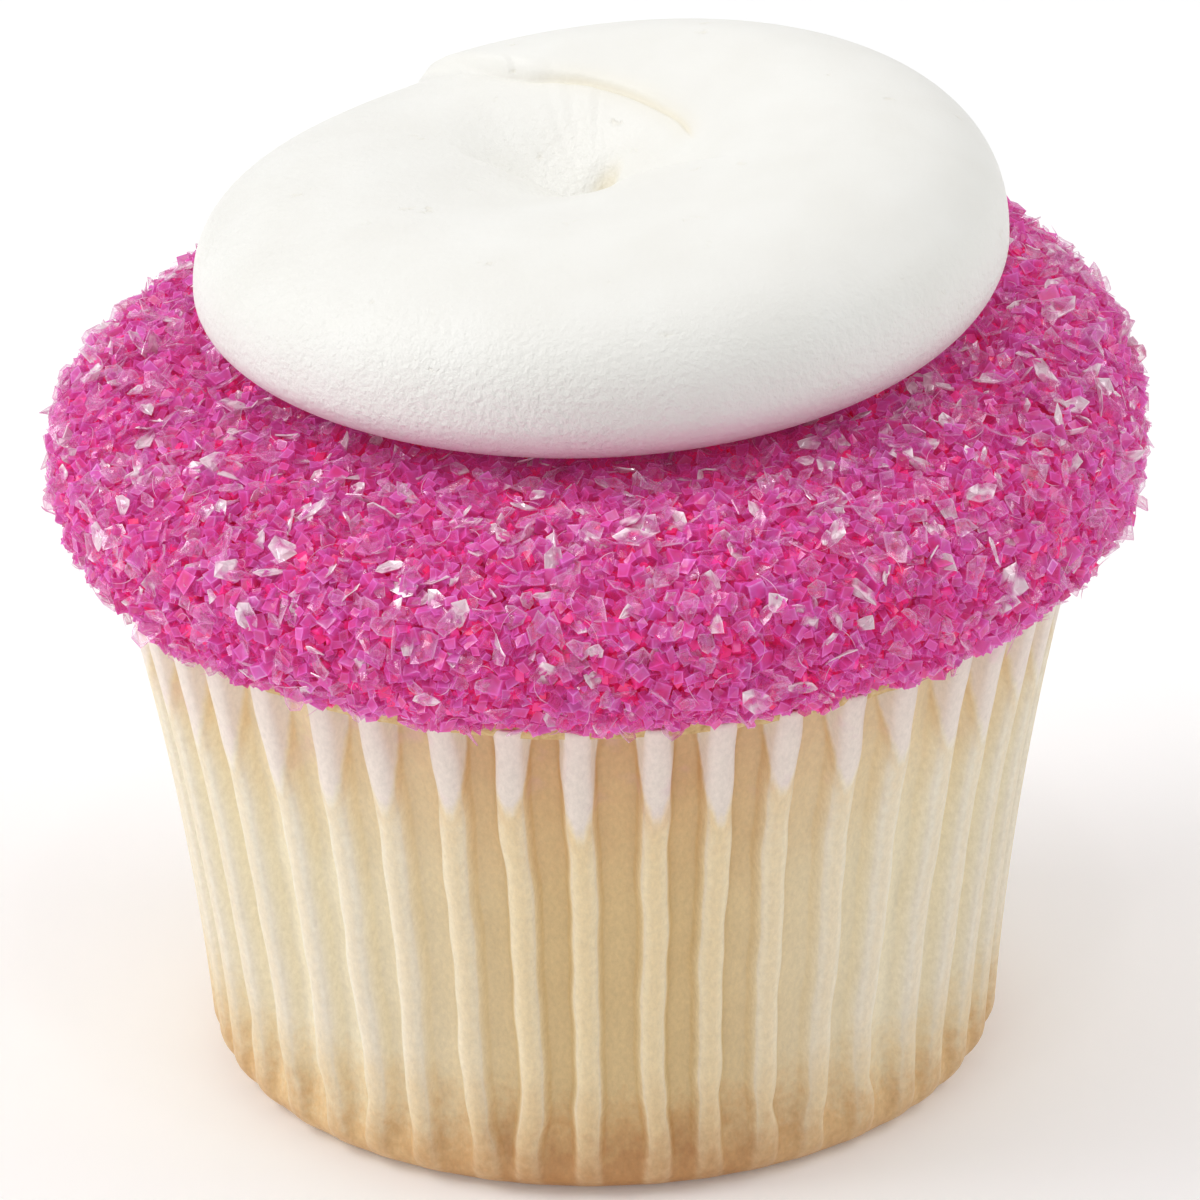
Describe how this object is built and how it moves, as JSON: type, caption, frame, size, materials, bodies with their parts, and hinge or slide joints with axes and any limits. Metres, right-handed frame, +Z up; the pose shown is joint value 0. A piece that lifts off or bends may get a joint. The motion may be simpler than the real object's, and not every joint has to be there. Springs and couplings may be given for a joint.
{
  "type": "cupcake",
  "caption": "Cupcake in a fluted paper case, its sponge under a bulging band of pink sugared icing with a fat white swirl piped on top.",
  "frame": {"origin": "middle of the paper case's flat base, where the cake stands", "axes": "+Z up along the case's axis, -Y towards the front"},
  "size_m": [0.0728, 0.0748, 0.067],
  "materials": {
    "case_paper": "greaseproof paper, dry and white along the rim, soaked to tan and golden brown below",
    "sponge_crumb": "baked sponge crust, pale gold and matt",
    "sugared_icing": "soft icing coated in coarse clear pink sugar crystals and paler thin flakes",
    "white_icing": "smooth off-white buttercream with a soft sheen, fine pits and faint streaks"
  },
  "bodies": {
    "root": {"paper_case": "case_paper", "sponge": "sponge_crumb", "base_icing": "sugared_icing", "icing_swirl": "white_icing"}
  },
  "joints": []
}
